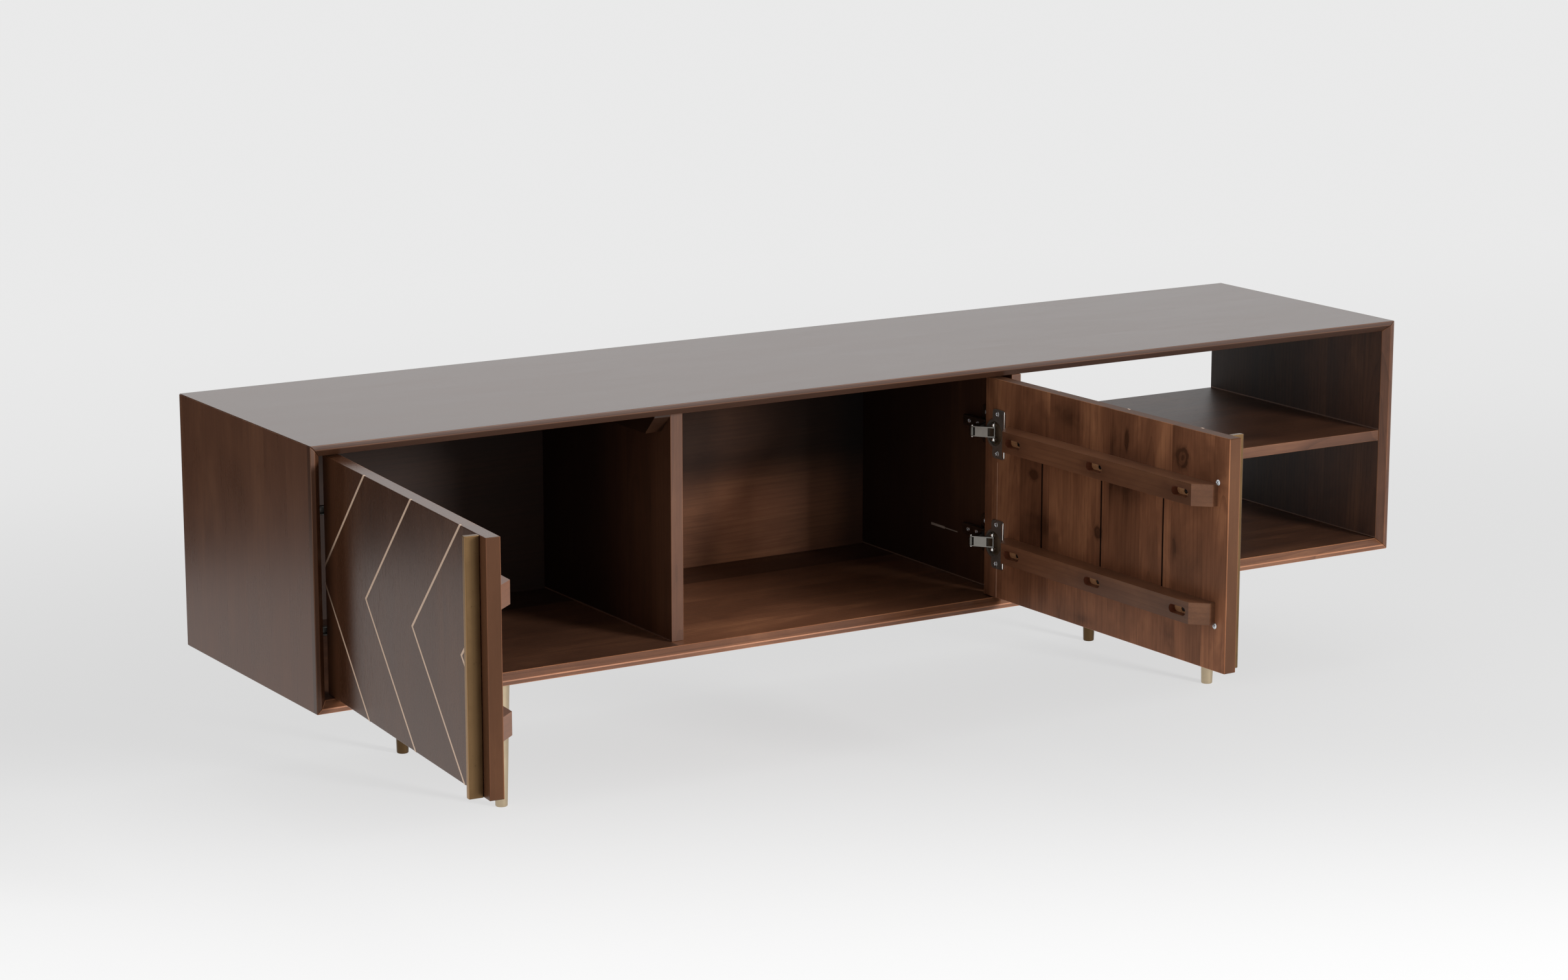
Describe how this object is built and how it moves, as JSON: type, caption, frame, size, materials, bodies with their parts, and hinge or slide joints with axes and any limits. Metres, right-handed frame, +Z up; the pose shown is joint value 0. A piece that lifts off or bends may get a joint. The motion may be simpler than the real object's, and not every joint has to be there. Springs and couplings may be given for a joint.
{
  "type": "media cabinet with doors",
  "caption": "Low wooden media cabinet on tapered brass legs, with inset doors inlaid with brass chevrons, hung on concealed cup hinges, and an open shelved bay.",
  "frame": {"origin": "middle of the outline on the floor, with both doors standing open as stored", "axes": "+X along the front from left to right as the user faces it, +Y from front to back, +Z up"},
  "size_m": [1.7288, 0.8818, 0.51],
  "materials": {
    "wood": "satin",
    "wood_edge": "satin",
    "wood_inside": "matte",
    "brass": "brushed, aged",
    "inlay_brass": "satin",
    "nickel": "nickel plated",
    "black_steel": "satin"
  },
  "bodies": {
    "carcass": {"top_board": "wood", "bottom_board": "wood", "left_side": "wood", "right_side": "wood", "divider": "wood_inside", "partition": "wood_edge", "shelf": "wood_edge", "back_panel": "wood_inside", "top_cleat": "wood_inside", "leg_front_left": "brass", "leg_front_right": "brass", "leg_rear_left": "brass", "leg_rear_right": "brass", "leg_plate_front_left": "black_steel", "leg_plate_front_right": "black_steel", "leg_plate_rear_left": "black_steel", "leg_plate_rear_right": "black_steel", "hinge_plate_left_upper": "nickel", "hinge_plate_left_lower": "nickel", "hinge_plate_right_upper": "nickel", "hinge_plate_right_lower": "nickel", "hinge_arm_left_upper": "nickel", "hinge_arm_left_lower": "nickel", "hinge_arm_right_upper": "nickel", "hinge_arm_right_lower": "nickel"},
    "door_left": {"door_left": "wood", "pull_left": "brass", "inlay_left_1_upper": "inlay_brass", "inlay_left_1_lower": "inlay_brass", "inlay_left_2": "inlay_brass", "inlay_left_3": "inlay_brass", "inlay_left_4": "inlay_brass", "batten_left_upper": "wood_edge", "batten_left_lower": "wood_edge", "hinge_cup_left_upper": "nickel", "hinge_cup_left_lower": "nickel"},
    "door_right": {"door_right": "wood", "pull_right": "brass", "inlay_right_1_upper": "inlay_brass", "inlay_right_1_lower": "inlay_brass", "inlay_right_2": "inlay_brass", "inlay_right_3": "inlay_brass", "inlay_right_4": "inlay_brass", "batten_right_upper": "wood_edge", "batten_right_lower": "wood_edge", "hinge_cup_right_upper": "nickel", "hinge_cup_right_lower": "nickel"},
    "links_left": {"hinge_link_left_upper": "nickel", "hinge_link_left_lower": "nickel"},
    "links_right": {"hinge_link_right_upper": "nickel", "hinge_link_right_lower": "nickel"}
  },
  "joints": [
    {"name": "door_left_swing", "type": "hinge", "parent": "carcass", "child": "door_left", "pos_m": [-0.80525, 0.05341, 0.3425], "axis": [0, 0, 1], "range_deg": [-0.5, 94.5]},
    {"name": "door_right_swing", "type": "hinge", "parent": "carcass", "child": "door_right", "pos_m": [0.18595, 0.05341, 0.3425], "axis": [0, 0, 1], "range_deg": [-91.6, 3.4]},
    {"name": "links_left_swing", "type": "hinge", "parent": "carcass", "child": "links_left", "pos_m": [-0.77434, 0.07551, 0.3425], "axis": [0, 0, 1], "range_deg": [-32, 0.5]},
    {"name": "links_right_swing", "type": "hinge", "parent": "carcass", "child": "links_right", "pos_m": [0.15504, 0.07551, 0.3425], "axis": [0, 0, 1], "range_deg": [-1.5, 31]}
  ],
  "couplings": [
    {"joint": "links_left_swing", "follows": "door_left_swing", "ratio": -0.33493},
    {"joint": "links_right_swing", "follows": "door_right_swing", "ratio": -0.33493}
  ]
}
